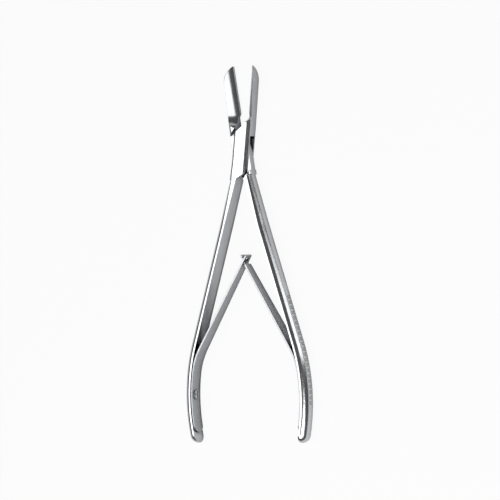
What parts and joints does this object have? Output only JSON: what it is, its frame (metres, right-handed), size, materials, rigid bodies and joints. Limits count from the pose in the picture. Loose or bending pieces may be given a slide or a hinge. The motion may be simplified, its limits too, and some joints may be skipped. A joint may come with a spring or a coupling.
{
  "type": "bone cutting forceps",
  "caption": "Hand-held bone cutting forceps with straight hollow-ground blades, a box joint, notched bowed handles and interlinked leaf springs that hold the jaws open.",
  "frame": {"origin": "on the pivot axis, on the flat back face of the joint", "axes": "+Y from the pivot along the closed blades to their tips, +X to the right seen from the front, +Z out of the front, so the forceps lies on its back"},
  "size_m": [0.067, 0.1698, 0.0074],
  "materials": {
    "satin_steel": "satin stainless steel",
    "pin_steel": "stainless rivet ground flush and satin finished",
    "spring_steel": "hardened spring steel with a fine grain along the leaf",
    "screw_steel": "turned stainless steel"
  },
  "bodies": {
    "box_side": {"box_half": "satin_steel", "joint_pin": "pin_steel", "leaf_spring_left": "spring_steel", "spring_screw_left": "screw_steel"},
    "tongue_side": {"tongue_half": "satin_steel", "leaf_spring_right": "spring_steel", "spring_screw_right": "screw_steel"}
  },
  "joints": [
    {"name": "jaw_pivot", "type": "hinge", "parent": "box_side", "child": "tongue_side", "pos_m": [0, 0, 0], "axis": [0, 0, -1], "range_deg": [0, 14.9], "stiffness_Nm_per_rad": 4, "deforming": ["leaf_spring_left", "leaf_spring_right"]}
  ]
}
